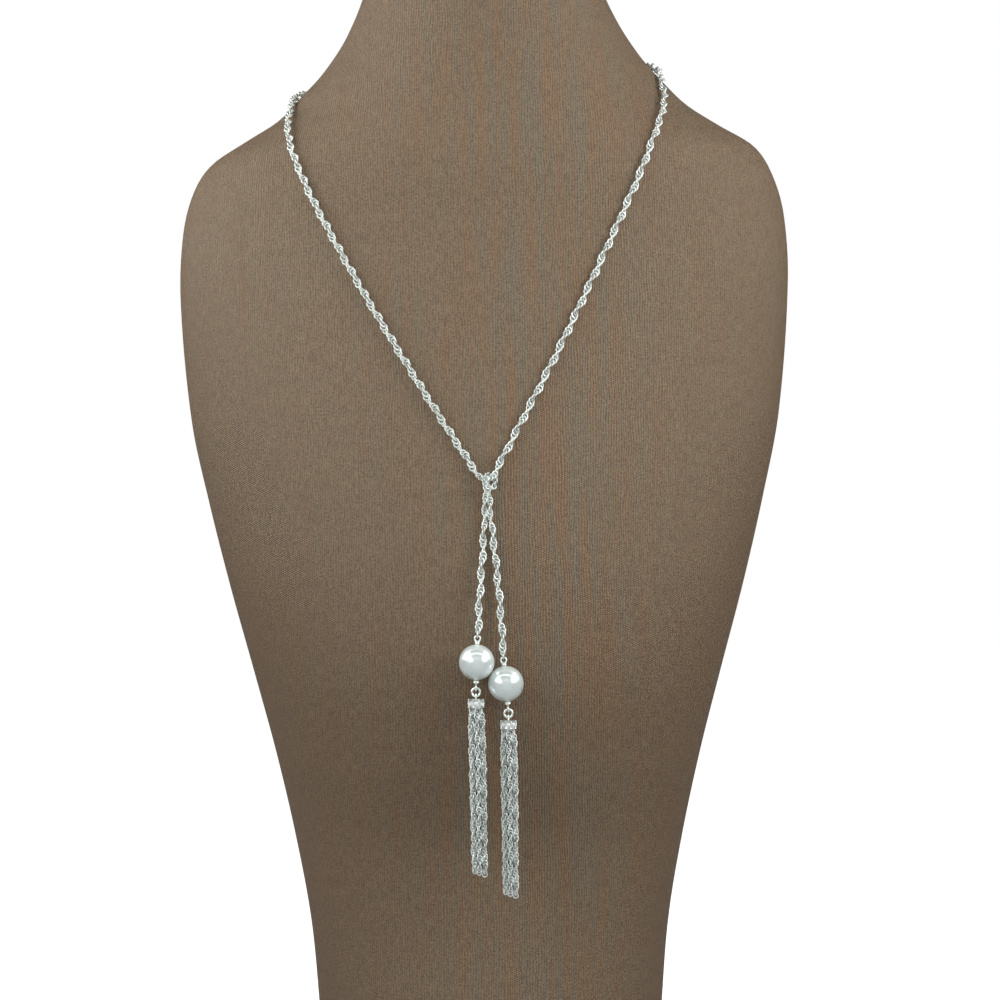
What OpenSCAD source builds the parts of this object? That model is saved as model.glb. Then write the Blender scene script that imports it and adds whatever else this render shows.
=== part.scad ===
// Lariat necklace on a neck bust.
// One long rope chain is laid round the neck of a padded bust, tied once on
// the chest, and ends in two drops: a pearl, a jump ring, a stone-set cap and
// a chain tassel. Millimetres; +Z up, the front looks along -Y, and the origin
// is the middle of the bust's foot.

/* [Pearls and drops] */
// Diameter of each pearl
pearl_d = 12; // [10:0.5:12]
// Drill hole through a pearl
pearl_hole_d = 1; // [0.9:0.1:1.6]
// Outer diameter of a jump ring
jump_ring_d = 3.5; // [3.3:0.1:3.8]
// Wire of a jump ring
jump_ring_wire = 0.75; // [0.5:0.05:0.8]
// Wire of the pins and of their loops
pin_wire = 0.6; // [0.5:0.05:0.7]

/* [Tassel caps] */
// Outer diameter of the rims of a cap
cap_d = 5.5; // [5.4:0.1:6]
// Height of a cap
cap_h = 2.9; // [2.8:0.1:3.2]
// Diameter of a stone at its girdle
stone_d = 1.55; // [1.3:0.05:1.6]

/* [Tassels] */
// Length of the chain strands of a tassel
tassel_len = 55.5; // [30:0.5:60]
// Widest part of one strand of a tassel
strand_d = 1.7; // [1.2:0.1:1.7]
// Length of one bulge of a twisted strand
strand_bulge_len = 4; // [3:0.5:6]

/* [Chain] */
// Diameter of the rope chain
chain_d = 2.4; // [1.8:0.1:2.6]
// Space between the chain and the skin of the bust
chain_gap = 0.3; // [0.2:0.1:1]

/* [Bust] */
// Flat sides round the bust
bust_sides = 48; // [24:4:64]
// Rings in each row of the bust's section table
bust_steps = 3; // [2:1:4]

/* [Hidden] */
STONES = 8;
SIDES = ["left", "right"];

bust_colour = [0.42, 0.33, 0.28];
silver = [0.78, 0.78, 0.77];
pearl_colour = [0.95, 0.94, 0.93];
stone_colour = [0.88, 0.93, 0.95];

// Sections of the bust, from the foot to the top of the neck.
// Each is half an ellipse in front of its widest line and half one behind it.
// The last column is the slant of that section, up towards +X.
//  height, half width, depth in front, depth behind, widest line y, slant per 100
bust_rows = [
  [0,   60,   65.5, 40,   0,    0],
  [30,  61.8, 62,   41,   0,    0],
  [60,  64.5, 58,   42,   0,    0],
  [90,  69.8, 58.5, 43,   0,    0],
  [120, 76.5, 66.5, 44,   0,    0],
  [150, 84.4, 73.5, 44.2, 0,    0],
  [180, 92.5, 74.5, 44,   0,    0],
  [210, 99.8, 71,   43.6, 0.6,  0.4],
  [240, 106,  65.5, 43,   1.5,  1],
  [285, 110,  57,   42,   4,    2],
  [310, 109,  53,   41,   6,    2],
  [325, 105,  51.5, 40,   7,    2],
  [335, 98.5, 50,   39,   8,    2.5],
  [343, 86,   48.5, 38,   9,    2.5],
  [350, 75,   47,   37,   9.5,  3],
  [358, 67,   45.5, 37,   10,   3],
  [368, 58,   44,   36,   10.5, 4],
  [382, 49,   42,   36,   11,   5],
  [400, 42,   40,   36,   12,   4],
  [427, 39,   38,   36,   13,   0],
  [432, 37,   36,   34,   13,   0],
  [434, 33,   32,   30,   13,   0]];
HEIGHT = 0;
HALF_W = 1;
FRONT = 2;
BEHIND = 3;
MIDDLE_Y = 4;
SLANT = 5;

// Where the two drops hang.
//  middle of the pearl x, y, z, lean of its pin, lean of its tassel
drop_rows = [
  [-3.3, -80.4, 155.7, 2.3,  -0.9],
  [6.4,  -79.5, 148.4, -4.9, -0.4]];
PIN_LEAN = 3;
TASSEL_LEAN = 4;

// The chain's middle line over the front, from the left drop up through the
// knot to the right shoulder.
//  x, z, stand from the skin, radius, steps to the next row
arm_stand = chain_d / 2 + chain_gap;
neck_stand = arm_stand + 0.4;
arm_r = chain_d / 2;
knot_r = 0.78;
right_rows = [
  [-2.9, 165.2, 5.7,        arm_r,  1],
  [-1.8, 180.5, 3.3,        arm_r,  1],
  [-0.8, 194.1, 1.9,        arm_r,  1],
  [-0.2, 204.9, 1.6,        0.85,   1],
  [0,    210.8, 1.3,        knot_r, 1],
  [0,    213.4, 1,          knot_r, 1],
  [0.5,  215.2, 1.1,        knot_r, 1],
  [1.7,  216.4, 2.5,        knot_r, 1],
  [2.9,  217.8, 3.2,        knot_r, 1],
  [4.3,  220.6, 2.4,        1,      1],
  [6.4,  224.7, arm_stand,  arm_r,  1],
  [11.6, 234.6, arm_stand,  arm_r,  2],
  [24.4, 259.1, arm_stand,  arm_r,  2],
  [36.6, 284.2, arm_stand,  arm_r,  2],
  [48.6, 309.9, arm_stand,  arm_r,  2],
  [54.4, 323,   neck_stand, arm_r,  2],
  [59.5, 336,   neck_stand, arm_r,  1]];
// The same from the left shoulder down through the knot to the right drop.
left_rows = [
  [-67,   335,   neck_stand, arm_r,  1],
  [-64.5, 328,   neck_stand, arm_r,  2],
  [-58.8, 315,   arm_stand,  arm_r,  2],
  [-45.6, 289.8, arm_stand,  arm_r,  2],
  [-31.5, 265.2, arm_stand,  arm_r,  2],
  [-17.2, 241.6, arm_stand,  arm_r,  2],
  [-6.2,  224.2, arm_stand,  arm_r,  1],
  [-2.3,  218.2, 2.1,        1,      1],
  [-0.8,  216.1, 2.8,        knot_r, 1],
  [0.4,   214.7, 3,          knot_r, 1],
  [1.8,   213.8, 2.8,        knot_r, 1],
  [3.1,   214.1, 2.2,        knot_r, 1],
  [3.5,   215.8, 1.4,        knot_r, 1],
  [2.6,   217.4, 1,          knot_r, 1],
  [1.2,   218.2, 1.6,        knot_r, 1],
  [0.4,   217.4, 3.3,        knot_r, 1],
  [0.6,   215.7, 4.6,        knot_r, 1],
  [0.9,   214.1, 4.7,        knot_r, 1],
  [1.3,   212.3, 3.9,        knot_r, 1],
  [1.5,   210.2, 2.8,        knot_r, 1],
  [1.5,   206.8, 2.3,        0.85,   1],
  [2.2,   200,   2,          1.15,   1],
  [3.5,   187.3, 1.9,        arm_r,  1],
  [4.7,   172.7, 3.4,        arm_r,  1],
  [5.9,   158.3, 5.6,        arm_r,  1]];
// The hidden stretch, laid close from the right shoulder round the back of
// the neck.
//  turn from the front, height, stand from the skin, steps to the next row
behind_rows = [
  [46,  342.5, 2.6,        2],
  [58,  349.8, 2.3,        2],
  [69,  357.2, neck_stand, 2],
  [84,  362.5, neck_stand, 2],
  [102, 366,   neck_stand, 2],
  [122, 368,   neck_stand, 2],
  [145, 369,   neck_stand, 2],
  [170, 369.3, neck_stand, 2],
  [195, 369,   neck_stand, 2],
  [218, 367.5, neck_stand, 2],
  [238, 365,   neck_stand, 2],
  [256, 361.5, neck_stand, 2],
  [272, 358.2, neck_stand, 2],
  [287, 354.3, neck_stand, 2],
  [297, 349.3, 2.3,        2],
  [306, 344.2, 2.5,        1]];

FULL_TURN = 360;
CHAIN_SIDES = 8;

// Value of one column of a table at a height, on a curve that passes through
// every row with the slope of the line between its neighbours.
function slope_at(t, c, i) =
  let (a = max(i - 1, 0), b = min(i + 1, len(t) - 1))
  (t[b][c] - t[a][c]) / (t[b][0] - t[a][0]);
function row_below(t, z, i = 0) =
  i >= len(t) - 2 || z < t[i + 1][0] ? i : row_below(t, z, i + 1);
function blend(p, q, mp, mq, h, s) =
  p * (2 * s ^ 3 - 3 * s ^ 2 + 1) + mp * h * (s ^ 3 - 2 * s ^ 2 + s)
  + q * (3 * s ^ 2 - 2 * s ^ 3) + mq * h * (s ^ 3 - s ^ 2);
function column(t, c, z) =
  let (i = row_below(t, z), h = t[i + 1][0] - t[i][0])
  blend(t[i][c], t[i + 1][c], slope_at(t, c, i), slope_at(t, c, i + 1), h, (z - t[i][0]) / h);

// A point of the bust's skin, at a turn from the front and a height.
function skin(turn, z) =
  let (
    x = column(bust_rows, HALF_W, z) * sin(turn),
    depth = cos(turn) > 0 ? column(bust_rows, FRONT, z) : column(bust_rows, BEHIND, z))
  [x, column(bust_rows, MIDDLE_Y, z) - depth * cos(turn),
    z + x * column(bust_rows, SLANT, z) / 100];
function unit(v) = v / norm(v);
function skin_outward(turn, z) =
  unit(cross(skin(turn + 0.1, z) - skin(turn - 0.1, z), skin(turn, z + 0.01) - skin(turn, z - 0.01)));
// The turn and height whose skin point has a given x and z on the front.
function level(x, z) = z - x * column(bust_rows, SLANT, z) / 100;
function front_turn(x, z) = asin(x / column(bust_rows, HALF_W, level(x, z)));
function over_front(row) =
  let (z = level(row[0], row[1]), turn = front_turn(row[0], row[1]))
  skin(turn, z) + row[2] * skin_outward(turn, z);
function round_neck(row) = skin(row[0], row[1]) + row[2] * skin_outward(row[0], row[1]);

// Closed skin over rings of points, each ring with the same count.
module ringed_solid(rings) {
  n = len(rings[0]);
  m = len(rings);
  polyhedron(
    points = [for (ring = rings) for (p = ring) p],
    faces = concat(
      [[for (j = [0:n - 1]) j]],
      [for (i = [0:m - 2]) for (j = [0:n - 1])
        [i * n + j, (i + 1) * n + j, (i + 1) * n + (j + 1) % n, i * n + (j + 1) % n]],
      [[for (j = [n - 1:-1:0]) (m - 1) * n + j]]),
    convexity = 6);
}

module neck_bust() {
  levels = concat(
    [for (i = [0:len(bust_rows) - 2]) for (s = [0:bust_steps - 1])
      bust_rows[i][0] + (bust_rows[i + 1][0] - bust_rows[i][0]) * s / bust_steps],
    [bust_rows[len(bust_rows) - 1][0]]);
  color(bust_colour)
    ringed_solid([for (z = levels) [for (j = [bust_sides - 1:-1:0]) skin(j * FULL_TURN / bust_sides, z)]]);
}

// Middle line of the whole chain: points, radii and steps, then a curve
// through the points and a ring across it at every step.
chain_points = concat(
  [for (row = right_rows) over_front(row)],
  [for (row = behind_rows) round_neck(row)],
  [for (row = left_rows) over_front(row)]);
chain_radii = concat(
  [for (row = right_rows) row[3]],
  [for (row = behind_rows) arm_r],
  [for (row = left_rows) row[3]]);
chain_steps = concat(
  [for (row = right_rows) row[4]],
  [for (row = behind_rows) row[3]],
  [for (row = left_rows) row[4]]);
function chord(p, i) = i < 0 || i > len(p) - 2 ? 0 : norm(p[i + 1] - p[i]);
function run_slope(p, i) =
  (p[min(i + 1, len(p) - 1)] - p[max(i - 1, 0)]) / (chord(p, i) + chord(p, i - 1));
function run_point(p, i, s) =
  blend(p[i], p[i + 1], run_slope(p, i), run_slope(p, i + 1), chord(p, i), s);
function across(v, d) = unit(v - d * (v * d));

last_point = len(chain_points) - 1;
chain_line = concat(
  [for (i = [0:last_point - 1]) for (s = [0:chain_steps[i] - 1])
    concat(run_point(chain_points, i, s / chain_steps[i]),
      chain_radii[i] + (chain_radii[i + 1] - chain_radii[i]) * s / chain_steps[i])],
  [concat(chain_points[last_point], chain_radii[last_point])]);

module chain() {
  count = len(chain_line);
  spots = [for (p = chain_line) [p[0], p[1], p[2]]];
  ways = [for (i = [0:count - 1]) unit(spots[min(i + 1, count - 1)] - spots[max(i - 1, 0)])];
  outs = [for (i = 0, v = across([0, -1, 0], ways[0]); i < count;
    i = i + 1, v = i < count ? across(v, ways[i]) : v) v];
  color(silver)
    ringed_solid([for (i = [0:count - 1])
      [for (j = [0:CHAIN_SIDES - 1])
        let (turn = j * FULL_TURN / CHAIN_SIDES)
        spots[i] + chain_line[i][3] * (cos(turn) * outs[i] - sin(turn) * cross(outs[i], ways[i]))]]);
}

// Drops. Every piece is drawn round the pearl's middle or round the ring that
// it hangs from, and the ring hangs plumb under the pin.
loop_r = 0.8;
top_loop_r = 0.95;
top_loop_z = pearl_d / 2 + 1.9;
low_loop_z = -(pearl_d / 2 + 2.6);
jump_r = (jump_ring_d - jump_ring_wire) / 2;
function drop(side) = drop_rows[side == "left" ? 0 : 1];
function pearl_at(side) = [drop(side)[0], drop(side)[1], drop(side)[2]];
function low_eye_at(side) =
  pearl_at(side) + low_loop_z * [sin(drop(side)[PIN_LEAN]), 0, cos(drop(side)[PIN_LEAN])];
function ring_at(side) = low_eye_at(side) - [0, 0, jump_r];
function cap_at(side) = ring_at(side) - [0, 0, jump_r];

module torus(r, wire_r) {
  rotate_extrude($fn = 48) translate([r, 0]) circle(r = wire_r, $fn = 24);
}

module pearl(side) {
  color(pearl_colour) translate(pearl_at(side)) rotate([0, drop(side)[PIN_LEAN], 0])
    difference() {
      sphere(d = pearl_d, $fn = 72);
      cylinder(d = pearl_hole_d, h = pearl_d + 2, center = true, $fn = 32);
    }
}

// Wire through the pearl, with a loop and a wrapped collar at each end.
collar_z = pearl_d / 2 + pin_wire / 2 + 0.04;
collar_pitch = pin_wire * 0.7;
module collar(r, turns) {
  for (i = [0:turns - 1]) translate([0, 0, collar_z + collar_pitch * i])
    torus(r - pin_wire / 2, pin_wire / 2);
  translate([0, 0, collar_z]) cylinder(r = r - pin_wire / 2, h = collar_pitch * (turns - 1), $fn = 32);
}
module eye_pin(side) {
  color(silver) translate(pearl_at(side)) rotate([0, drop(side)[PIN_LEAN], 0]) {
    translate([0, 0, low_loop_z + loop_r]) cylinder(d = pin_wire, h = top_loop_z - top_loop_r - low_loop_z - loop_r, $fn = 32);
    translate([0, 0, top_loop_z]) rotate([90, 0, 0]) torus(top_loop_r, pin_wire / 2);
    translate([0, 0, low_loop_z]) rotate([0, 90, 0]) torus(loop_r, pin_wire / 2);
    collar(0.85, 2);
    mirror([0, 0, 1]) collar(1.05, 2);
  }
}

module jump_ring(side) {
  color(silver) translate(ring_at(side)) rotate([90, 0, 0]) torus(jump_r, jump_ring_wire / 2);
}

// Cap: a short drum between two rims, with a ring of stones set in its wall,
// crossed prongs between them and an eye on top.
cap_top = -(loop_r + 0.15);
cap_low = cap_top - cap_h;
cap_mid = (cap_top + cap_low) / 2;
rim_r = cap_d / 2;
rim_h = 0.4;
wall_r = rim_r - 0.55;
hollow_r = 1.9;
hollow_h = 0.45;
girdle_at = rim_r - 0.3;
prong_r = 0.16;
prong_at = rim_r - 0.1;
prong_spread = 0.35;
prong_reach = cap_h / 2 - rim_h / 2;
bead_r = 0.26;
seat_r = 0.62;
seat_floor = girdle_at - 0.8;
stone_turn = 360 / STONES;

module rod(a, b, r) {
  v = b - a;
  translate(a) rotate([0, acos(v[2] / norm(v)), atan2(v[1], v[0])]) cylinder(r = r, h = norm(v), $fn = 16);
}
module tassel_cap(side) {
  color(silver) translate(cap_at(side)) {
    rotate([0, 90, 0]) torus(loop_r, pin_wire / 2);
    difference() {
      rotate_extrude($fn = 64) polygon([
        [0, cap_top], [rim_r - 0.5, cap_top], [rim_r, cap_top - 0.15], [rim_r, cap_top - rim_h],
        [wall_r, cap_top - rim_h - 0.05], [wall_r, cap_low + rim_h + 0.05], [rim_r, cap_low + rim_h],
        [rim_r, cap_low + 0.15], [rim_r - 0.15, cap_low], [hollow_r, cap_low],
        [hollow_r, cap_low + hollow_h], [0, cap_low + hollow_h]]);
      for (i = [1:STONES]) rotate([0, 0, i * stone_turn]) translate([seat_floor, 0, cap_mid])
        rotate([0, 90, 0]) cylinder(r = seat_r, h = 3, $fn = 32);
    }
    for (i = [1:STONES]) rotate([0, 0, (i + 0.5) * stone_turn]) for (s = [-1, 1]) {
      rod([prong_at, s * prong_spread, cap_mid - prong_reach],
        [prong_at, -s * prong_spread, cap_mid + prong_reach], prong_r);
      translate([prong_at, 0, cap_mid + s * prong_reach]) sphere(r = bead_r, $fn = 24);
    }
  }
}

// Round stone: a table, eight crown facets, a thin girdle and eight facets
// that meet in a point. It looks outwards from its seat.
crown_h = 0.28;
girdle_h = 0.08;
point_h = 0.62;
table_d = stone_d * 0.56;
module stone(side, i) {
  color(stone_colour) translate(cap_at(side)) rotate([0, 0, i * stone_turn])
    translate([girdle_at, 0, cap_mid]) rotate([0, 90, 0]) rotate(180 / 8) {
      translate([0, 0, girdle_h]) cylinder(d1 = stone_d, d2 = table_d, h = crown_h, $fn = 8);
      cylinder(d = stone_d, h = girdle_h, $fn = 8);
      translate([0, 0, -point_h]) cylinder(d1 = 0.02, d2 = stone_d, h = point_h, $fn = 8);
    }
}

// Tassel: a head in the cap's hollow and seven strands under it. A strand
// swells and narrows as a twisted rope does, and its neighbours swell where
// it is narrow.
//  turn round the head, spread at the foot, extra length, sway
strand_rows = [
  [0,   0,   -0.6, 0.1],
  [30,  1.9, 0,    0.15],
  [90,  1.9, -1,   -0.1],
  [150, 2,   0.2,  -0.15],
  [210, 2,   -0.3, 0.1],
  [270, 1.9, 0.4,  0.15],
  [330, 2,   1.1,  0.2]];
head_r = 1.75;
head_h = 0.4;
head_gap = 0.08;
strand_root = 1.15;
strand_flare = 5;
strand_sides = 6;
narrow = 0.68;
module strand(row, k) {
  top = cap_low - 0.1;
  rings = round(2 * (tassel_len + row[2]) / strand_bulge_len);
  step = (tassel_len + row[2]) / rings;
  ringed_solid([for (i = [0:rings])
    let (
      down = i * step,
      spread = min(row[1], strand_root + (row[1] - strand_root) * min(down / strand_flare, 1)),
      sway = row[3] * sin(down * 5),
      swell = (i + k) % 2 == 0 ? 1 : narrow,
      r = strand_d / 2 * (i == 0 || i == rings ? 0.6 : swell))
    [for (j = [0:strand_sides - 1])
      [spread * cos(row[0]) + sway + r * cos(-j * 360 / strand_sides),
        spread * sin(row[0]) + r * sin(-j * 360 / strand_sides), top - down]]]);
}
module tassel(side) {
  color(silver) translate(cap_at(side)) translate([0, 0, cap_low]) rotate([0, drop(side)[TASSEL_LEAN], 0])
    translate([0, 0, -cap_low]) {
      translate([0, 0, cap_low + hollow_h - head_gap - head_h - 0.2])
        cylinder(r = head_r, h = head_h + 0.2, $fn = 32);
      for (k = [0:len(strand_rows) - 1]) strand(strand_rows[k], k);
    }
}

neck_bust();
chain();
for (side = SIDES) {
  pearl(side);
  eye_pin(side);
  jump_ring(side);
  tassel_cap(side);
  tassel(side);
  for (i = [1:STONES])
    stone(side, i);
}
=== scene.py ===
"""Looks of a lariat necklace on a cloth-covered neck bust.

The bust's ribbed cloth, the rope chain and the tassels are new pieces round the
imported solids. The pearls, pins, rings, caps and stones keep their solids and get
their finishes here. Tables hold millimetres and degrees, and are turned into metres
and radians where they are read.
"""
import bpy
import numpy as np
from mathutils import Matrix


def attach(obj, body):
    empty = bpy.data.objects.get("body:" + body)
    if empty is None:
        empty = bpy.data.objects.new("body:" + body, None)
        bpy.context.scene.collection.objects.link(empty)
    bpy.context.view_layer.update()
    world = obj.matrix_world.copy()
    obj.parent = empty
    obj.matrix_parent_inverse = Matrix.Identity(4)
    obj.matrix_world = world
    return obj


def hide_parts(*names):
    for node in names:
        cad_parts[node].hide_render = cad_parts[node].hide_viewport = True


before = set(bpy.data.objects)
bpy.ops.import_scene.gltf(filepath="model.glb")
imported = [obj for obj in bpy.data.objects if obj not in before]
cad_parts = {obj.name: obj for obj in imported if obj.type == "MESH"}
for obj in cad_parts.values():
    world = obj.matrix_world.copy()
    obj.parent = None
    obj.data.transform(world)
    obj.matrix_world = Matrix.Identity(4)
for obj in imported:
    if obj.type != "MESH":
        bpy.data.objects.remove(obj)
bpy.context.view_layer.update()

MM = 0.001
TAU = 2 * np.pi

# Bust, from the foot to the top of the neck.
#  height, half width, depth in front, depth behind, widest line y, slant per 100
BUST = np.array([
    [0, 60, 65.5, 40, 0, 0],
    [30, 61.8, 62, 41, 0, 0],
    [60, 64.5, 58, 42, 0, 0],
    [90, 69.8, 58.5, 43, 0, 0],
    [120, 76.5, 66.5, 44, 0, 0],
    [150, 84.4, 73.5, 44.2, 0, 0],
    [180, 92.5, 74.5, 44, 0, 0],
    [210, 99.8, 71, 43.6, 0.6, 0.4],
    [240, 106, 65.5, 43, 1.5, 1],
    [285, 110, 57, 42, 4, 2],
    [310, 109, 53, 41, 6, 2],
    [325, 105, 51.5, 40, 7, 2],
    [335, 98.5, 50, 39, 8, 2.5],
    [343, 86, 48.5, 38, 9, 2.5],
    [350, 75, 47, 37, 9.5, 3],
    [358, 67, 45.5, 37, 10, 3],
    [368, 58, 44, 36, 10.5, 4],
    [382, 49, 42, 36, 11, 5],
    [400, 42, 40, 36, 12, 4],
    [427, 39, 38, 36, 13, 0],
    [432, 37, 36, 34, 13, 0],
    [434, 33, 32, 30, 13, 0],
]) * [MM, MM, MM, MM, MM, 0.01]
HEIGHT, HALF_W, FRONT, BEHIND, MIDDLE_Y, SLANT = range(6)
BUST_TOP = BUST[-1, HEIGHT]
BUST_SIDES = 192
BUST_STEP = 2 * MM
# The foot's edge is rounded, with more rows of points at these shares of it.
FOOT_ROUND = 2 * MM
FOOT_ROWS = np.array([0.08, 0.3, 0.6])
# Seam down the back of the cover.
SEAM_DEPTH = 0.5 * MM
SEAM_WIDTH = 1.2 * MM
# How far apart the cloth's ribs and its cross threads lie.
RIB_PITCH = 0.9 * MM
THREAD_PITCH = 0.75 * MM
# Small steps round and up the bust, to find which way its skin faces.
TURN_STEP = 0.002
HEIGHT_STEP = 0.01 * MM

# Chain's middle line, from the left drop up through the knot to the right shoulder.
#  x, z, stand from the skin
ARM_STAND = 1.5
NECK_STAND = 1.6
RIGHT_ROWS = [
    [-2.9, 165.2, 5.7],
    [-1.8, 180.5, 3.3],
    [-0.8, 194.1, 1.9],
    [-0.2, 204.9, 1.6],
    [0, 210.8, 1.3],
    [0, 213.4, 1],
    [0.5, 215.2, 1.1],
    [1.7, 216.4, 2.5],
    [2.9, 217.8, 3.2],
    [4.3, 220.6, 2.4],
    [6.4, 224.7, ARM_STAND],
    [11.6, 234.6, ARM_STAND],
    [24.4, 259.1, ARM_STAND],
    [36.6, 284.2, ARM_STAND],
    [48.6, 309.9, ARM_STAND],
    [54.4, 323, NECK_STAND],
    [59.5, 336, NECK_STAND],
]
# Round the back of the neck.
#  turn from the front, height, stand from the skin
BEHIND_ROWS = [
    [46, 342.5, 2.4],
    [58, 349.8, 2.1],
    [69, 357.2, NECK_STAND],
    [84, 362.5, NECK_STAND],
    [102, 366, NECK_STAND],
    [122, 368, NECK_STAND],
    [145, 369, NECK_STAND],
    [170, 369.3, NECK_STAND],
    [195, 369, NECK_STAND],
    [218, 367.5, NECK_STAND],
    [238, 365, NECK_STAND],
    [256, 361.5, NECK_STAND],
    [272, 358.2, NECK_STAND],
    [287, 354.3, NECK_STAND],
    [297, 349.3, 2.1],
    [306, 344.2, 2.3],
]
# From the left shoulder down through the knot to the right drop.
#  x, z, stand from the skin
LEFT_ROWS = [
    [-67, 335, NECK_STAND],
    [-64.5, 328, NECK_STAND],
    [-58.8, 315, ARM_STAND],
    [-45.6, 289.8, ARM_STAND],
    [-31.5, 265.2, ARM_STAND],
    [-17.2, 241.6, ARM_STAND],
    [-6.2, 224.2, ARM_STAND],
    [-2.3, 218.2, 2.1],
    [-0.8, 216.1, 2.8],
    [0.4, 214.7, 3],
    [1.8, 213.8, 2.8],
    [3.1, 214.1, 2.2],
    [3.5, 215.8, 1.4],
    [2.6, 217.4, 1],
    [1.2, 218.2, 1.6],
    [0.4, 217.4, 3.3],
    [0.6, 215.7, 4.6],
    [0.9, 214.1, 4.7],
    [1.3, 212.3, 3.9],
    [1.5, 210.2, 2.8],
    [1.5, 206.8, 2.3],
    [2.2, 200, 2],
    [3.5, 187.3, 1.9],
    [4.7, 172.7, 3.4],
    [5.9, 158.3, 5.6],
]
# Steps of the smooth line between one point of it and the next.
SPAN_STEPS = 40

# Drops: middle of the pearl x, y, z, lean of its pin, lean of its tassel.
DROPS = {
    "left": [-3.3, -80.4, 155.7, 2.3, -0.9],
    "right": [6.4, -79.5, 148.4, -4.9, -0.4],
}
PIN_LEAN, TASSEL_LEAN = 3, 4
# Pin's loops, up from the pearl's middle.
TOP_LOOP_Z = 7.9 * MM
LOW_LOOP_Z = -8.6 * MM
TOP_LOOP_R = 0.95 * MM
PIN_WIRE = 0.6 * MM
JUMP_R = 1.375 * MM
# Cap's foot, up from the middle of its eye.
CAP_LOW = -3.85 * MM

# Rope chain: a flat curb chain with a steady twist. One link's wire circle, half
# the width and half the thickness of its slightly flattened wire, pitch, how far
# its middle stands off the chain's line and at what turn, and its plane's two leans.
ROPE = {
    "ring": 1.08 * MM,
    "wire": 0.28 * MM,
    "thick": 0.22 * MM,
    "pitch": 1.23 * MM,
    "offset": 0.26 * MM,
    "offset_turn": np.radians(136),
    "tip": np.radians(4),
    "swing": np.radians(10),
}
RING_SIDES = 14
WIRE_SIDES = 6
# Twist per link, by share of the chain's length from the left drop.
TWIST_AT = [0, 0.3, 0.62, 0.9, 0.93, 1]
TWIST = np.radians([38, 38, 45.5, 45.5, 38, 38])
# Over its last links the chain's middle comes back to its line.
END_LINKS = 6
# In the knot the links pull close and look smaller.
KNOT_AT = np.array([1.0, -72.5, 210]) * MM
KNOT_SCALE = 0.8
KNOT_REACH = 8.5 * MM
KNOT_FADE = 3.5 * MM
# How dark the links' hidden sides are painted, as shade: under a neighbour, and inside a hole.
UNDER_HIDES = 0.7
INNER_HIDES = 0.15

# The tassels' fine chain, as a share of the rope chain's size.
FINE_SCALE = 0.78
FINE_TWIST = np.radians(43)
TASSEL_LEN = 55.5 * MM
#  turn round the head, spread at the foot, extra length, sway
STRANDS = np.array([
    [0, 0, -0.6, 0.1],
    [30, 2, 0, 0.15],
    [90, 2, -1, -0.1],
    [150, 2.1, 0.2, -0.15],
    [210, 2.1, -0.3, 0.1],
    [270, 2, 0.4, 0.15],
    [330, 2.1, 1.1, 0.2],
]) * [np.pi / 180, MM, MM, MM]
# How far out a strand leaves the head, and over what length it spreads.
STRAND_ROOT = 1.35 * MM
STRAND_FLARE = 3.5 * MM
SWAY_PER_M = np.radians(5) / MM
# Within this distance of the tassel's middle the chains are painted darker as shade, over this depth.
OPEN_R = 1.5 * MM
HIDDEN_DEPTH = 0.8 * MM
# Head that the strands hang from: its profile from the foot up, and how far it is painted dark as shade.
#  radius, height
HEAD_PROFILE = np.array([[1.2, -0.75], [1.75, -0.5], [1.75, 0.3], [1.2, 0.42]]) * MM
HEAD_SIDES = 24
HEAD_HIDDEN = 0.3


def unit(v):
    """Each vector divided by its length."""
    return v / np.linalg.norm(v, axis=-1, keepdims=True)


def cubic(p, q, m, n, s):
    """Cubic from p to q over s from 0 to 1, with slopes m and n at its ends."""
    return (p * (2 * s**3 - 3 * s**2 + 1) + m * (s**3 - 2 * s**2 + s)
            + q * (3 * s**2 - 2 * s**3) + n * (s**3 - s**2))


def column(c, z):
    """Column c of the bust's table at heights z, on cubics through its rows whose
    slope at a row is that of the line between the rows beside it."""
    z = np.asarray(z, float)
    heights, values = BUST[:, HEIGHT], BUST[:, c]
    order = np.arange(len(heights))
    before = np.maximum(order - 1, 0)
    after = np.minimum(order + 1, len(heights) - 1)
    slopes = (values[after] - values[before]) / (heights[after] - heights[before])
    i = np.clip(np.searchsorted(heights, z, side="right") - 1, 0, len(heights) - 2)
    h = heights[i + 1] - heights[i]
    return cubic(values[i], values[i + 1], slopes[i] * h, slopes[i + 1] * h, (z - heights[i]) / h)


def skin(turn, z):
    """Point of the bust at a turn from the front and a height: half an ellipse in
    front of the widest line and half one behind it, slanted up towards +X."""
    x = column(HALF_W, z) * np.sin(turn)
    depth = np.where(np.cos(turn) > 0, column(FRONT, z), column(BEHIND, z))
    y = column(MIDDLE_Y, z) - depth * np.cos(turn)
    return np.stack(np.broadcast_arrays(x, y, z + x * column(SLANT, z)), -1)


def outward(turn, z):
    """Direction straight out of the skin: its way round crossed with its way up."""
    way_round = skin(turn + TURN_STEP, z) - skin(turn - TURN_STEP, z)
    way_up = skin(turn, z + HEIGHT_STEP) - skin(turn, z - HEIGHT_STEP)
    return unit(np.cross(way_round, way_up))


def over_front(rows):
    """Points that stand off the front skin over a given x and z."""
    x, z, stand = (np.array(rows) * MM).T
    level = z - x * column(SLANT, z)
    turn = np.arcsin(x / column(HALF_W, level))
    return skin(turn, level) + stand[:, None] * outward(turn, level)


def round_neck(rows):
    """Points that stand off the skin at a given turn and height."""
    turn, z, stand = np.array(rows).T
    turn = np.radians(turn)
    return skin(turn, z * MM) + stand[:, None] * MM * outward(turn, z * MM)


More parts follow.
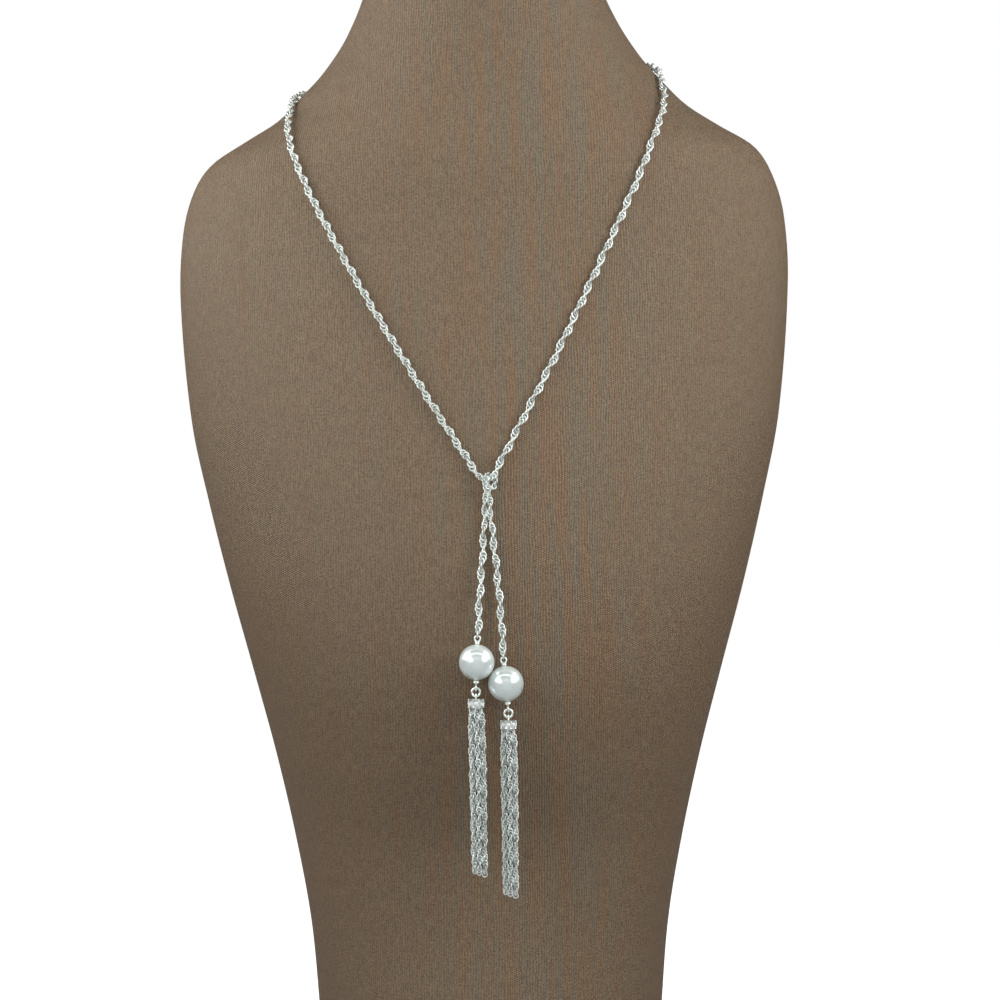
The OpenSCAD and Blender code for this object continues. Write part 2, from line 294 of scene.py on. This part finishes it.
def smooth_run(points):
    """Curve through the points: a cubic over each span, whose slope at a point is
    the step between its neighbours over the chords between them."""
    chords = np.linalg.norm(np.diff(points, axis=0), axis=1)
    near = np.concatenate([[0], chords]) + np.concatenate([chords, [0]])
    ends = np.concatenate([points[:1], points, points[-1:]])
    slopes = (ends[2:] - ends[:-2]) / near[:, None]
    s = (np.arange(SPAN_STEPS) / SPAN_STEPS)[None, :, None]
    h = chords[:, None, None]
    run = cubic(points[:-1, None], points[1:, None], slopes[:-1, None] * h, slopes[1:, None] * h, s)
    return np.concatenate([run.reshape(-1, 3), points[-1:]])


def knot_scale(points):
    """Size of the links at points: smaller within reach of the knot's middle."""
    away = np.linalg.norm(points - KNOT_AT, axis=-1)
    return KNOT_SCALE + (1 - KNOT_SCALE) * np.clip((away - KNOT_REACH) / KNOT_FADE, 0, 1)


def link_spots(run):
    """A spot for each link along a run, ends included: the pitch shrinks with the
    links, so equal steps are counted in lengths divided by the links' size."""
    chords = np.diff(run, axis=0)
    sizes = knot_scale(run[:-1] + chords / 2)
    reach = np.concatenate([[0], np.cumsum(np.linalg.norm(chords, axis=1) / sizes)])
    at = np.linspace(0, reach[-1], int(round(reach[-1] / ROPE["pitch"])) + 1)
    return np.stack([np.interp(at, reach, run[:, k]) for k in range(3)], -1)


def carried_sides(ways, first):
    """A side direction at every point of a run, carried along it without twist."""
    sides = [unit(first - ways[0] * np.dot(first, ways[0]))]
    for way in ways[1:]:
        sides.append(unit(sides[-1] - way * np.dot(sides[-1], way)))
    return np.array(sides)


def wall_faces(rows, sides):
    """Faces between rows of points stacked upwards, each row closed round."""
    i, j = np.meshgrid(np.arange(rows - 1), np.arange(sides), indexing="ij")
    k = (j + 1) % sides
    corners = [i * sides + j, i * sides + k, (i + 1) * sides + k, (i + 1) * sides + j]
    return np.stack(corners, -1).reshape(-1, 4)


def link_faces():
    """Faces of one link: closed round the wire, and round the link."""
    i, j = np.meshgrid(np.arange(RING_SIDES), np.arange(WIRE_SIDES), indexing="ij")
    this_row = i * WIRE_SIDES
    next_row = (i + 1) % RING_SIDES * WIRE_SIDES
    k = (j + 1) % WIRE_SIDES
    return np.stack([this_row + j, next_row + j, next_row + k, this_row + k], -1).reshape(-1, 4)


def rings(centres, across, along, sizes):
    """Closed links: about each centre, a slightly flattened wire is carried round a
    circle that lies in the plane of across and along; sizes scale both. Gives the
    points, the faces and how far each point is painted dark as shade where it is
    hidden: on the inner side of a link's hole, or where the link's end lies under
    its neighbour."""
    turn = TAU * np.arange(RING_SIDES) / RING_SIDES
    roll = TAU * np.arange(WIRE_SIDES) / WIRE_SIDES
    out = np.cos(turn)[None, :, None] * across[:, None] + np.sin(turn)[None, :, None] * along[:, None]
    square_on = np.cross(across, along)
    size = np.broadcast_to(sizes, len(centres))[:, None, None, None]
    stand = size * (ROPE["ring"] + ROPE["wire"] * np.cos(roll))[None, None, :, None]
    lift = size * (ROPE["thick"] * np.sin(roll))[None, None, :, None]
    points = centres[:, None, None] + stand * out[:, :, None] + lift * square_on[:, None, None]
    # Painted shade: a link's end under its neighbour and the inner side of its hole are marked to be
    # painted dark.
    under = UNDER_HIDES * np.outer(np.sin(turn), np.sin(roll))
    inner = np.broadcast_to(-INNER_HIDES * np.cos(roll), under.shape)
    hidden = np.tile(np.clip(np.maximum(under, inner), 0, 1).reshape(-1), len(centres))
    starts = np.arange(len(centres)) * RING_SIDES * WIRE_SIDES
    faces = (starts[:, None, None] + link_faces()[None]).reshape(-1, 4)
    return points.reshape(-1, 3), [faces], hidden


def twisted_links(spots, sides, turns, sizes):
    """Links of the rope along a line of spots: each link's plane turns with the
    rope, tips a little along it, and its middle stands off the line."""
    ways = unit(np.gradient(spots, axis=0))
    sides = unit(sides - ways * (sides * ways).sum(-1, keepdims=True))
    others = np.cross(ways, sides)

    def at(angle):
        return np.cos(angle)[:, None] * sides + np.sin(angle)[:, None] * others

    across = at(turns + ROPE["swing"])
    flat = np.cross(across, ways)
    along = ways * np.cos(ROPE["tip"]) + flat * np.sin(ROPE["tip"])
    offsets = ROPE["offset"] * np.reshape(sizes, (-1, 1)) * at(turns + ROPE["offset_turn"])
    return across, along, offsets


def joined(shapes):
    """One shape from several, each of points, blocks of faces and hidden shares:
    a block's corners are counted on from the points before it."""
    starts = np.cumsum([0] + [len(points) for points, _, _ in shapes])
    blocks = [block + start for start, shape in zip(starts, shapes) for block in shape[1]]
    return np.concatenate([s[0] for s in shapes]), blocks, np.concatenate([s[2] for s in shapes])


def piece(name, points, blocks, finish, hidden=None):
    """A smooth-shaded mesh with its place in its points, riding on the one body.
    The faces of a block all have as many corners."""
    mesh = bpy.data.meshes.new(name)
    mesh.from_pydata(points.tolist(), [], [face for block in blocks for face in block.tolist()])
    mesh.validate()
    if hidden is not None:
        mesh.attributes.new("hidden", "FLOAT", "POINT").data.foreach_set("value", hidden)
    mesh.shade_smooth()
    mesh.materials.append(finish)
    new = bpy.data.objects.new(name, mesh)
    bpy.context.scene.collection.objects.link(new)
    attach(new, "root")
    return new


class Signal:
    """One output socket of a node tree; arithmetic on a number's adds Math nodes."""

    def __init__(self, tree, socket):
        self.tree = tree
        self.socket = socket

    def maths(self, operation, *others):
        """A Math node over this number and any others."""
        sockets = dict(enumerate((self,) + others))
        return self.tree.node("ShaderNodeMath", {"operation": operation}, sockets)

    def __add__(self, other):
        return self.maths("ADD", other)

    def __sub__(self, other):
        return self.maths("SUBTRACT", other)

    def __rsub__(self, other):
        return (self * -1) + other

    def __mul__(self, other):
        return self.maths("MULTIPLY", other)

    __radd__ = __add__
    __rmul__ = __mul__

    def sine(self):
        return self.maths("SINE")

    def floor(self):
        return self.maths("FLOOR")


class Tree:
    """A material's or the world's nodes, made one call at a time."""

    def __init__(self, owner):
        owner.use_nodes = True
        self.owner = owner
        self.nodes = owner.node_tree.nodes
        self.links = owner.node_tree.links
        self.nodes.clear()

    def node(self, kind, settings=None, sockets=None, output=0):
        """Adds a node: its settings first, then values or links for its sockets."""
        new = self.nodes.new(kind)
        for name, value in (settings or {}).items():
            if name == "stops":
                ramp = new.color_ramp.elements
                for k, (place, colour) in enumerate(value):
                    stop = ramp[k] if k < len(ramp) else ramp.new(place)
                    stop.position = place
                    stop.color = (*colour, 1)
            else:
                setattr(new, name, value)
        for name, value in (sockets or {}).items():
            socket = new.inputs[name]
            if isinstance(value, Signal):
                self.links.new(value.socket, socket)
            elif socket.type == "RGBA":
                socket.default_value = (*value, 1)
            else:
                socket.default_value = value
        return Signal(self, new.outputs[output])

    def split(self, vector):
        """The three numbers of a vector."""
        return [self.node("ShaderNodeSeparateXYZ", {}, {0: vector}, k) for k in range(3)]

    def vector(self, x, y):
        """A vector of two numbers, its third nothing."""
        return self.node("ShaderNodeCombineXYZ", {}, {0: x, 1: y})

    def place(self):
        """Where a point is on the object."""
        return self.node("ShaderNodeTexCoord", {}, {}, "Object")

    def noise(self, vector, scale, detail=2.0):
        """Smooth random number from 0 to 1 over a vector."""
        return self.node("ShaderNodeTexNoise", {}, {"Vector": vector, "Scale": scale, "Detail": detail})

    def ramp(self, share, stops):
        """Colour at a share, by stops of place and colour."""
        return self.node("ShaderNodeValToRGB", {"stops": stops}, {"Fac": share})

    def blend(self, share, colour_a, colour_b):
        """Colour from a to b as share goes from 0 to 1."""
        return self.ramp(share, [(0.0, colour_a), (1.0, colour_b)])

    def mix(self, share, colour_a, colour_b):
        """Between two colours of the tree as share goes from 0 to 1."""
        return self.node("ShaderNodeMix", {"data_type": "RGBA"}, {0: share, 6: colour_a, 7: colour_b}, 2)

    def bump(self, height, strength, distance):
        """Normals bent by a height."""
        sockets = {"Strength": strength, "Distance": distance, "Height": height}
        return self.node("ShaderNodeBump", {}, sockets)

    def close(self, shader, kind="ShaderNodeOutputMaterial"):
        """Leads a shader to the output, and gives back whose nodes these are."""
        out = self.nodes.new(kind)
        self.links.new(shader.socket, out.inputs["Surface"])
        return self.owner


# Rib that the cloth's stripes are clearest at, and how many ribs they fade over.
STRIPES_AT = 18
STRIPES_FADE = 34


def cloth_finish():
    """Satin-like brown cloth: fine upright ribs crossed by beaded threads, with
    short slubs along the ribs and stripes that lean to grey, clearest near the
    middle. The UV map counts ribs and threads."""
    tree = Tree(bpy.data.materials.new("ribbed_cloth"))
    uv = tree.node("ShaderNodeUVMap", {"uv_map": "threads"})
    across, up, _ = tree.split(uv)
    wander = tree.noise(tree.vector(across * 0.11, up * 0.05), 1.0, 1.0)
    rib = ((across + wander * 2.5) * TAU).sine()
    thread = ((up + across.floor() * 0.5 + wander) * TAU).sine()
    slub = tree.noise(tree.vector(across * 0.9, up * 0.2), 1.0, 2.0)
    bead = tree.noise(tree.vector(across * 1.4 + 40, up * 1.1), 1.0, 1.0)
    stripe = tree.noise(tree.vector(across * 0.25, up * 0.012), 1.0, 1.0)
    off_middle = (across - STRIPES_AT) * (1 / STRIPES_FADE)
    middle = (off_middle * off_middle * -1).maths("EXPONENT")
    cloud = tree.noise(tree.place(), 14.0, 2.0)
    tone = (0.5 + (slub - 0.5) * 1.3 + (bead - 0.5) * 2.6 + rib * 0.25 + thread * 0.18
            + (stripe - 0.5) * 0.2 + (cloud - 0.5) * 0.1)
    warm = tree.blend(tone, (0.072, 0.020, 0.0), (0.180, 0.102, 0.038))
    cool = tree.blend(tone, (0.046, 0.021, 0.002), (0.152, 0.106, 0.059))
    height = rib * 0.5 + thread * 0.4 + slub * 0.6 + bead
    shader = tree.node("ShaderNodeBsdfPrincipled", {}, {
        "Base Color": tree.mix(0.5 + (stripe - 0.5) * (middle * 4.5 + 1.0), warm, cool),
        "Roughness": 0.62,
        "IOR": 1.8,
        "Specular IOR Level": 0.62,
        "Specular Tint": (1.0, 0.95, 0.82),
        "Sheen Weight": 0.05,
        "Sheen Roughness": 0.35,
        "Sheen Tint": (0.86, 0.92, 0.88),
        "Normal": tree.bump(height, 0.8, 0.17 * MM),
    })
    return tree.close(shader)


def silver_finish(name, links):
    """Bright plate with faint wear: patches a little duller and darker. On links
    the hidden sides are painted near black as shade, and the plate is more satin."""
    tree = Tree(bpy.data.materials.new(name))
    place = tree.place()
    wear = tree.noise(place, 700.0, 3.0)
    grain = tree.noise(place, 5200.0, 2.0)
    plate = tree.blend(wear, (0.86, 0.93, 0.89), (0.95, 1.0, 0.97))
    if links:
        # Painted shade: the links' hidden sides are mixed towards near black.
        hidden = tree.node("ShaderNodeAttribute", {"attribute_name": "hidden"}, {}, "Fac")
        painted_shade = tree.blend(wear, (0.01, 0.012, 0.01), (0.03, 0.04, 0.035))
        plate = tree.mix(hidden, plate, painted_shade)
    shader = tree.node("ShaderNodeBsdfPrincipled", {}, {
        "Base Color": plate,
        "Metallic": 1.0,
        "Roughness": (0.42 if links else 0.25) + wear * 0.1,
        "Normal": tree.bump(grain, 0.08, 0.02 * MM),
    })
    return tree.close(shader)


# The pearl's lustre ring: place from its middle to its rim, and how mirror-like.
LUSTRE = [(0.0, 0.05), (0.05, 0.1), (0.1, 0.32), (0.3, 0.3), (0.5, 0.1), (1.0, 0.0)]


def pearl_finish():
    """White pearl: a glossy layer over a satin body with a faint green tint."""
    tree = Tree(bpy.data.materials.new("pearl_lustre"))
    place = tree.place()
    cloud = tree.noise(place, 160.0, 2.0)
    skin_grain = tree.noise(place, 2600.0, 2.0)
    facing = tree.node("ShaderNodeLayerWeight", {}, {"Blend": 0.5}, "Facing")
    lustre = tree.ramp(facing, [(at, (mirror,) * 3) for at, mirror in LUSTRE])
    shader = tree.node("ShaderNodeBsdfPrincipled", {}, {
        "Base Color": tree.blend(cloud, (0.66, 0.79, 0.75), (0.73, 0.79, 0.78)),
        "Metallic": lustre,
        "Roughness": 0.24 + cloud * 0.1,
        "IOR": 2.05,
        "Specular IOR Level": 1.0,
        "Coat Weight": 1.0,
        "Coat IOR": 2.0,
        "Coat Roughness": 0.12,
        "Normal": tree.bump(skin_grain, 0.06, 0.02 * MM),
    })
    return tree.close(shader)


def stone_finish():
    """Clear cut stone with a faint cool tint, its small cuts shown by a bump."""
    tree = Tree(bpy.data.materials.new("clear_stone"))
    place = tree.place()
    flaw = tree.noise(place, 1800.0, 2.0)
    cut = tree.noise(place, 1100.0, 0.0)
    shader = tree.node("ShaderNodeBsdfPrincipled", {}, {
        "Base Color": tree.blend(flaw, (0.92, 0.96, 0.96), (1.0, 1.0, 1.0)),
        "Roughness": 0.02 + flaw * 0.03,
        "Normal": tree.bump(cut, 0.8, 0.3 * MM),
        "IOR": 2.2,
        "Transmission Weight": 0.12,
    })
    return tree.close(shader)


# How far behind the bust the floor starts to look lit through, and over what depth.
LIT_FROM = 0.1
LIT_FADE = 0.08


def floor_finish():
    """Plain pale paper with the faintest mottle. Behind the bust it looks lit
    through, but sheds no light of its own on the cloth."""
    tree = Tree(bpy.data.materials.new("pale_paper"))
    place = tree.place()
    mottle = tree.noise(place, 30.0, 2.0)
    behind = (tree.split(place)[1] - LIT_FROM) * (1 / LIT_FADE)
    seen = tree.node("ShaderNodeLightPath", {}, {}, "Is Camera Ray")
    shader = tree.node("ShaderNodeBsdfPrincipled", {}, {
        "Base Color": tree.blend(mottle, (0.40, 0.40, 0.41), (0.44, 0.44, 0.45)),
        "Roughness": 0.7,
        "Emission Color": tree.blend(behind * seen, (0.0, 0.0, 0.0), (1.0, 1.0, 1.0)),
        "Emission Strength": 1.0,
    })
    return tree.close(shader)


cloth = cloth_finish()
silver = silver_finish("bright_silver", False)
link_silver = silver_finish("bright_links_painted_shade", True)
pearl = pearl_finish()
stone = stone_finish()


def bust_skin():
    """The bust's cloth: the skin formula on a dense grid, its foot edge rounded
    and a shallow seam down the back, closed by a flat foot and top. Its UV map
    counts ribs from the middle of the front, and threads from the foot."""
    z = np.linspace(0, BUST_TOP, int(round(BUST_TOP / BUST_STEP)) + 1)
    z = np.sort(np.concatenate([z, FOOT_ROUND * FOOT_ROWS]))
    turns, heights = np.meshgrid(-np.pi + TAU * np.arange(BUST_SIDES) / BUST_SIDES, z)
    grid = skin(turns, heights)
    low = np.clip(1 - heights / FOOT_ROUND, 0, 1)
    inset = FOOT_ROUND * (1 - np.sqrt(1 - low**2))
    steps = np.linalg.norm(np.diff(grid, axis=1, append=grid[:, :1]), axis=-1)
    arc = np.concatenate([np.zeros((len(z), 1)), np.cumsum(steps, axis=1)], axis=1)
    arc -= arc[:, BUST_SIDES // 2:BUST_SIDES // 2 + 1]
    from_seam = np.minimum(arc[:, :-1] - arc[:, :1], arc[:, -1:] - arc[:, :-1])
    inset = inset + SEAM_DEPTH * np.exp(-(from_seam / SEAM_WIDTH) ** 2)
    within = np.clip(heights, 2 * HEIGHT_STEP, BUST_TOP - 2 * HEIGHT_STEP)
    grid = grid - inset[..., None] * outward(turns, within)
    grid[..., 2] = np.clip(grid[..., 2], 0, BUST_TOP)
    middles = [[0, 0, 0], [0, BUST[-1, MIDDLE_Y], BUST_TOP]]
    points = np.concatenate([grid.reshape(-1, 3), middles])

    edge = np.arange(BUST_SIDES)
    after = (edge + 1) % BUST_SIDES
    top = (len(z) - 1) * BUST_SIDES
    foot_middle = np.full(BUST_SIDES, len(points) - 2)
    foot_faces = np.stack([after, edge, foot_middle], -1)
    top_faces = np.stack([top + edge, top + after, foot_middle + 1], -1)
    blocks = [wall_faces(len(z), BUST_SIDES), foot_faces, top_faces]
    new = piece("bust_cloth_skin", points, blocks, cloth)

    counts = np.stack([arc / RIB_PITCH, np.broadcast_to(z[:, None] / THREAD_PITCH, arc.shape)], -1)
    wall = np.stack([counts[:-1, :-1], counts[:-1, 1:], counts[1:, 1:], counts[1:, :-1]], 2)
    flat = points[np.concatenate([foot_faces, top_faces])][..., :2] / [RIB_PITCH, THREAD_PITCH]
    values = np.concatenate([wall.reshape(-1), flat.reshape(-1)])
    new.data.uv_layers.new(name="threads").data.foreach_set("uv", values.astype(np.float32))
    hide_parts("neck_bust")


def leant(side, lean_index):
    """Direction up along a drop's pin or tassel, which leans in the picture's plane."""
    lean = np.radians(DROPS[side][lean_index])
    return np.array([np.sin(lean), 0, np.cos(lean)])


def pearl_at(side):
    """Middle of a drop's pearl."""
    return np.array(DROPS[side][:3]) * MM


def cap_at(side):
    """Middle of the cap's eye: under the pin's low loop by two jump ring radii."""
    return pearl_at(side) + LOW_LOOP_Z * leant(side, PIN_LEAN) - [0, 0, 2 * JUMP_R]


def end_link_at(side):
    """Middle of the chain's end link, whose wire hangs inside the pin's top loop."""
    up = TOP_LOOP_Z + TOP_LOOP_R - PIN_WIRE / 2 - ROPE["wire"] + ROPE["ring"]
    return pearl_at(side) + up * leant(side, PIN_LEAN)


def rope_chain():
    """The whole chain: one run from the left drop round the neck to the right one,
    with a link at every pitch. The twist is a little slower on the right arm, and
    the end links are turned edge on, so that they hang in the pins' loops."""
    route = np.concatenate([over_front(RIGHT_ROWS), round_neck(BEHIND_ROWS), over_front(LEFT_ROWS)])
    route[0] = end_link_at("left")
    route[-1] = end_link_at("right")
    spots = link_spots(smooth_run(route))
    sizes = knot_scale(spots)
    ways = unit(np.gradient(spots, axis=0))
    sides = carried_sides(ways, np.array([1.0, 0, 0]))
    share = np.linspace(0, 1, len(spots))

    # The first link is turned edge on. What the last one then misses of edge on is
    # taken out evenly along the run.
    edge_on = np.pi / 2 - ROPE["swing"]
    turns = np.cumsum(np.interp(share, TWIST_AT, TWIST))
    turns += edge_on - turns[0]
    other = np.cross(ways[-1], sides[-1])
    picture_x = np.arctan2(other[0], sides[-1][0])
    miss = (turns[-1] - edge_on - picture_x + np.pi / 2) % np.pi - np.pi / 2
    turns -= miss * share

    across, along, offsets = twisted_links(spots, sides, turns, sizes)
    from_end = np.minimum(share, 1 - share) * (len(spots) - 1)
    settle = np.clip(from_end / END_LINKS, 0, 1)
    end_offset = np.where((share < 0.5)[:, None], offsets[0], offsets[-1])
    centres = spots + offsets - end_offset * (1 - settle)[:, None]
    points, blocks, hidden = rings(centres, across, along, sizes)
    chain = piece("rope_chain_links", points, blocks, link_silver, hidden)
    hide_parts("chain")


def tassel_strand(k, turn, foot, extra, sway):
    """Links of one fine chain under the head: it leaves the head, spreads over its
    first few millimetres and then hangs plumb with a slight sway. Every other
    strand's twist starts a quarter turn on."""
    ring = ROPE["ring"] * FINE_SCALE
    length = TASSEL_LEN + extra
    count = int(round(length / (ROPE["pitch"] * FINE_SCALE)))
    down = np.linspace(ring, length - ring, count)
    opening = STRAND_ROOT + (foot - STRAND_ROOT) * np.clip(down / STRAND_FLARE, 0, 1)
    spread = np.minimum(foot, opening)
    x = spread * np.cos(turn) + sway * np.sin(SWAY_PER_M * down)
    spots = np.stack([x, spread * np.sin(turn), -down], -1)
    sides = np.broadcast_to([1.0, 0, 0], spots.shape)
    turns = FINE_TWIST * np.arange(count) + k % 2 * np.pi / 2
    across, along, offsets = twisted_links(spots, sides, turns, FINE_SCALE)
    points, blocks, hidden = rings(spots + offsets, across, along, FINE_SCALE)
    # Painted shade: the chains darken towards the tassel's middle.
    painted_core_shade = np.clip((OPEN_R - np.hypot(points[:, 0], points[:, 1])) / HIDDEN_DEPTH, 0, 1)
    return points, blocks, np.maximum(hidden, painted_core_shade)


def tassel_head():
    """The head: its profile turned about Z, closed by a flat foot and top, painted partly dark as shade.
    """
    turn = TAU * np.arange(HEAD_SIDES) / HEAD_SIDES
    r, z = HEAD_PROFILE.T
    heights = np.broadcast_to(z[:, None], (len(z), HEAD_SIDES))
    points = np.stack([r[:, None] * np.cos(turn), r[:, None] * np.sin(turn), heights], -1).reshape(-1, 3)
    around = np.arange(HEAD_SIDES)
    ends = np.stack([around[::-1], (len(z) - 1) * HEAD_SIDES + around])
    return points, [wall_faces(len(z), HEAD_SIDES), ends], np.full(len(points), HEAD_HIDDEN)


def tassel_chains(side):
    """Seven fine rope chains on one head, set under the cap and leant as the tassel
    hangs."""
    strands = [tassel_strand(k, *row) for k, row in enumerate(STRANDS)]
    points, blocks, hidden = joined([*strands, tassel_head()])
    lean = leant(side, TASSEL_LEAN)
    aside = np.array([lean[2], 0, -lean[0]])
    root = cap_at(side) + [0, 0, CAP_LOW]
    points = root + points[:, :1] * aside + points[:, 1:2] * [0, 1, 0] + points[:, 2:] * lean
    tassel = piece(side + "_tassel_chains", points, blocks, link_silver, hidden)
    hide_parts(side + "_tassel")


bust_skin()
rope_chain()
for side in DROPS:
    tassel_chains(side)

# Solids that keep their own shape, by a word of their name.
KEPT = {"pearl": pearl, "eye_pin": silver, "jump_ring": silver, "tassel_cap": silver, "stone": stone}
for name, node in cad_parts.items():
    for word, finish in KEPT.items():
        if word in name:
            for slot in node.material_slots:
                slot.material = finish

# Studio: pale floor and a light tent: soft walls left and right, soft boxes
# overhead and above the camera, and a dim wall behind the camera.
FLOOR_HALF = 3.0
ROOM_LIGHT = 0.1
WALL_X = 0.5
WALL_DEEP = 0.36
WALL_TALL = 0.28
# Middle of each piece of the side walls, in metres, and its radiance.
#  y, z, on the left, on the right
WALLS = [
    [-0.80, 0.42, 8.0, 0.8],
    [-0.42, 0.14, 0.5, 0.2],
    [-0.42, 0.42, 2.6, 9.6],
    [-0.42, 0.72, 2.3, 1.2],
    [-0.05, 0.14, 0.1, 0.2],
    [-0.05, 0.42, 3.5, 1.4],
    [-0.05, 0.72, 5.4, 3.6],
]
# Soft boxes, in metres.
#  place, turn about X in degrees, width, height, radiance
BOXES = {
    "over_front": [(0, -0.5, 0.95), 0, 1.0, 0.16, 2.6],
    "overhead": [(0, 0.1, 0.95), 0, 1.0, 0.3, 0.9],
    "over_camera": [(0, -1.15, 0.75), 66.5, 0.8, 0.3, 0.7],
    "camera_wall": [(0, -1.6, 0.35), 90, 1.4, 0.9, 0.32],
}


def floor():
    """A flat square of paper under the bust."""
    mesh = bpy.data.meshes.new("floor")
    h = FLOOR_HALF
    mesh.from_pydata([(-h, -h, 0), (h, -h, 0), (h, h, 0), (-h, h, 0)], [], [(0, 1, 2, 3)])
    mesh.materials.append(floor_finish())
    new = bpy.data.objects.new("floor", mesh)
    bpy.context.scene.collection.objects.link(new)


def panel(name, place, turns, width, height, radiance):
    """A soft box of a given radiance: its power is radiance times area times pi."""
    lamp = bpy.data.lights.new(name, "AREA")
    lamp.shape = "RECTANGLE"
    lamp.size = width
    lamp.size_y = height
    lamp.energy = radiance * width * height * np.pi
    new = bpy.data.objects.new(name, lamp)
    new.location = place
    new.rotation_euler = np.radians(turns)
    new.visible_camera = False
    bpy.context.scene.collection.objects.link(new)


floor()
for k, (y, z, on_left, on_right) in enumerate(WALLS, 1):
    for side, way, radiance in (("left", -1, on_left), ("right", 1, on_right)):
        place = (way * WALL_X, y, z)
        panel(f"{side}_wall_{k}", place, (0, way * 90, 0), WALL_TALL, WALL_DEEP, radiance)
for name, (place, turn, *size_and_radiance) in BOXES.items():
    panel(name, place, (turn, 0, 0), *size_and_radiance)

room = Tree(bpy.data.worlds.new("white_room"))
seen = room.node("ShaderNodeLightPath", {}, {}, "Is Camera Ray")
strength = ROOM_LIGHT + seen * (1 - ROOM_LIGHT)
background = room.node("ShaderNodeBackground", {}, {"Color": (1.0, 1.0, 1.0), "Strength": strength})
bpy.context.scene.world = room.close(background, "ShaderNodeOutputWorld")

# Camera: square on to the bust, a little above its middle, with a slight roll. Its
# lens is this many times as long as the picture is wide.
CAMERA_AT = (0.005, -1.1, 0.21)
FOCAL_SHARE = 3.044
CAMERA_ROLL = 0.53
SENSOR = 36.0

eye = bpy.data.cameras.new("camera")
eye.sensor_width = SENSOR
eye.lens = FOCAL_SHARE * SENSOR
camera = bpy.data.objects.new("camera", eye)
camera.location = CAMERA_AT
camera.rotation_euler = np.radians((90, CAMERA_ROLL, 0))
bpy.context.scene.collection.objects.link(camera)
bpy.context.scene.camera = camera
bpy.context.scene.view_settings.view_transform = "Standard"
